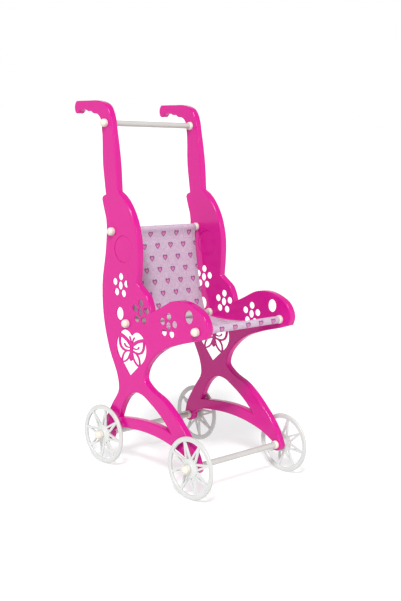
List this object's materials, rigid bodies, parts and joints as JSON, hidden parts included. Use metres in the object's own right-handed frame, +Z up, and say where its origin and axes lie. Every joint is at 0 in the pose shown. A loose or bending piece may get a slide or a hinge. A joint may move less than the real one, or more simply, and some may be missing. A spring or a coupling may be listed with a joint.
{
  "type": "doll stroller",
  "caption": "Doll stroller: openwork moulded side panels joined by tube cross-bars, a hanging fabric seat, hooked push handles and spoked wheels on tube axles.",
  "frame": {"origin": "centre of the footprint on the ground plane: midway between the fronts of the front wheels and the ends of the handle grips, and midway between the side panels", "axes": "+Z up; -Y forward, the way the doll faces; +Y towards the push handles; +X to the right when looking along +Y from in front of the stroller"},
  "size_m": [0.2274, 0.3409, 0.5429],
  "materials": {
    "panel_plastic": "gloss",
    "tube_enamel": "satin",
    "cap_plastic": "gloss",
    "wheel_plastic": "satin",
    "sling_fabric": "matte"
  },
  "bodies": {
    "frame": {"left_side_panel": "panel_plastic", "right_side_panel": "panel_plastic", "push_bar": "tube_enamel", "backrest_bar": "tube_enamel", "seat_rear_bar": "tube_enamel", "seat_front_bar": "tube_enamel", "push_bar_collar_left": "cap_plastic", "push_bar_collar_right": "cap_plastic", "backrest_bar_collar_left": "cap_plastic", "backrest_bar_collar_right": "cap_plastic", "seat_rear_bar_collar_left": "cap_plastic", "seat_rear_bar_collar_right": "cap_plastic", "seat_front_bar_collar_left": "cap_plastic", "seat_front_bar_collar_right": "cap_plastic", "rear_axle_collar_left": "cap_plastic", "rear_axle_collar_right": "cap_plastic", "front_axle_collar_left": "cap_plastic", "front_axle_collar_right": "cap_plastic", "push_bar_cap_left": "cap_plastic", "push_bar_cap_right": "cap_plastic", "backrest_bar_cap_left": "cap_plastic", "backrest_bar_cap_right": "cap_plastic", "seat_rear_bar_cap_left": "cap_plastic", "seat_rear_bar_cap_right": "cap_plastic", "seat_front_bar_cap_left": "cap_plastic", "seat_front_bar_cap_right": "cap_plastic", "rear_axle_tube": "tube_enamel", "front_axle_tube": "tube_enamel", "rear_axle_washer_left": "wheel_plastic", "rear_axle_washer_right": "wheel_plastic", "front_axle_washer_left": "wheel_plastic", "front_axle_washer_right": "wheel_plastic", "rear_axle_hub_cap_left": "cap_plastic", "rear_axle_hub_cap_right": "cap_plastic", "front_axle_hub_cap_left": "cap_plastic", "front_axle_hub_cap_right": "cap_plastic", "sling_seat": "sling_fabric"},
    "rear_left_wheel": {"rear_axle_wheel_left": "wheel_plastic"},
    "rear_right_wheel": {"rear_axle_wheel_right": "wheel_plastic"},
    "front_left_wheel": {"front_axle_wheel_left": "wheel_plastic"},
    "front_right_wheel": {"front_axle_wheel_right": "wheel_plastic"}
  },
  "joints": [
    {"name": "rear_left_wheel_spin", "type": "hinge", "parent": "frame", "child": "rear_left_wheel", "pos_m": [-0.0988, 0.06538, 0.045], "axis": [1, 0, 0], "continuous": true},
    {"name": "rear_right_wheel_spin", "type": "hinge", "parent": "frame", "child": "rear_right_wheel", "pos_m": [0.0988, 0.06538, 0.045], "axis": [1, 0, 0], "continuous": true},
    {"name": "front_left_wheel_spin", "type": "hinge", "parent": "frame", "child": "front_left_wheel", "pos_m": [-0.0988, -0.12512, 0.045], "axis": [1, 0, 0], "continuous": true},
    {"name": "front_right_wheel_spin", "type": "hinge", "parent": "frame", "child": "front_right_wheel", "pos_m": [0.0988, -0.12512, 0.045], "axis": [1, 0, 0], "continuous": true}
  ]
}
